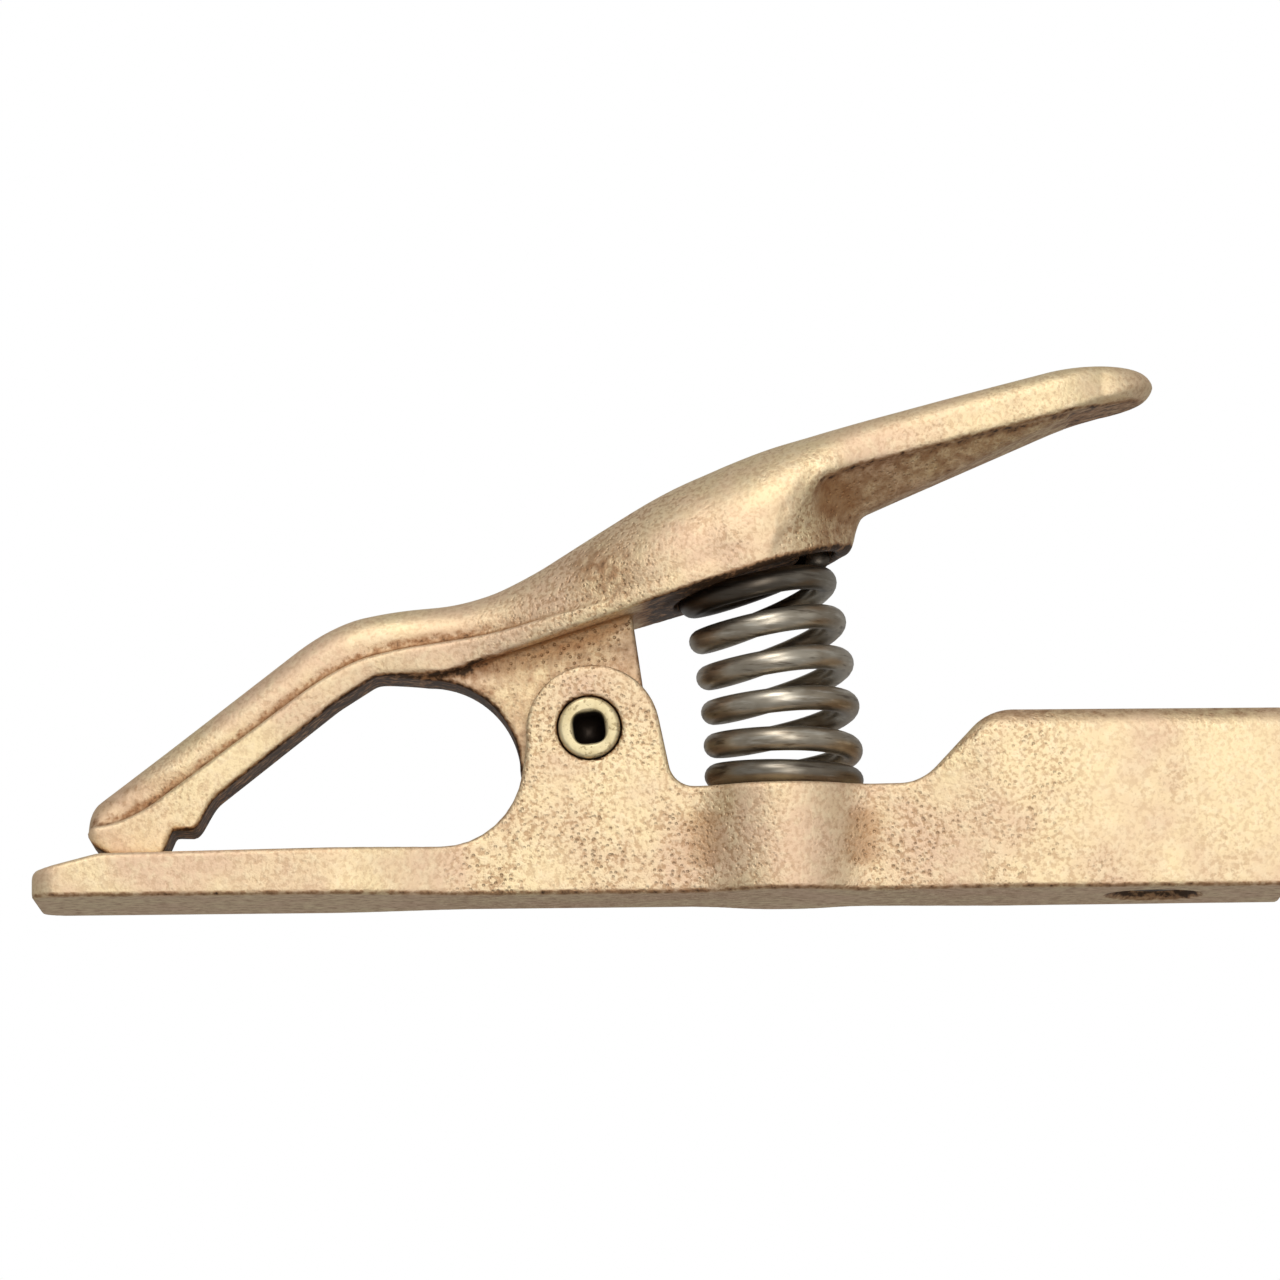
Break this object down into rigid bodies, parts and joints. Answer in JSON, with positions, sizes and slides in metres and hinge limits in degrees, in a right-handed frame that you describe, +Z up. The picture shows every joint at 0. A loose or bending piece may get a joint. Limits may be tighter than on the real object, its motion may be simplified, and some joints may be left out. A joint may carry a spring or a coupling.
{
  "type": "spring ground clamp",
  "caption": "Spring-loaded cast brass ground clamp: flat lower jaw with cable socket, ribbed upper jaw with thumb handle, hollow pivot rivet and compression spring.",
  "frame": {"origin": "centre of the bounding box in X and Y, on the flat base of the lower jaw", "axes": "+X from the jaw tip towards the cable end, +Y across the clamp, +Z up from the base towards the thumb handle"},
  "size_m": [0.2, 0.032, 0.085],
  "materials": {
    "cast_brass": "shot-blasted sand casting",
    "rivet_brass": "turned and rolled",
    "spring_steel": "oiled drawn wire",
    "screw_steel": "blackened"
  },
  "bodies": {
    "clamp_base": {"lower_jaw": "cast_brass", "pivot_rivet": "rivet_brass", "compression_spring": "spring_steel", "cable_set_screw": "screw_steel"},
    "jaw_lever": {"upper_jaw": "cast_brass"}
  },
  "joints": [
    {"name": "jaw_pivot", "type": "hinge", "parent": "clamp_base", "child": "jaw_lever", "pos_m": [-0.011, 0, 0.0267], "axis": [0, 1, 0], "range_deg": [0, 16], "stiffness_Nm_per_rad": 20, "springref_deg": -8.59, "deforming": ["compression_spring"]}
  ]
}
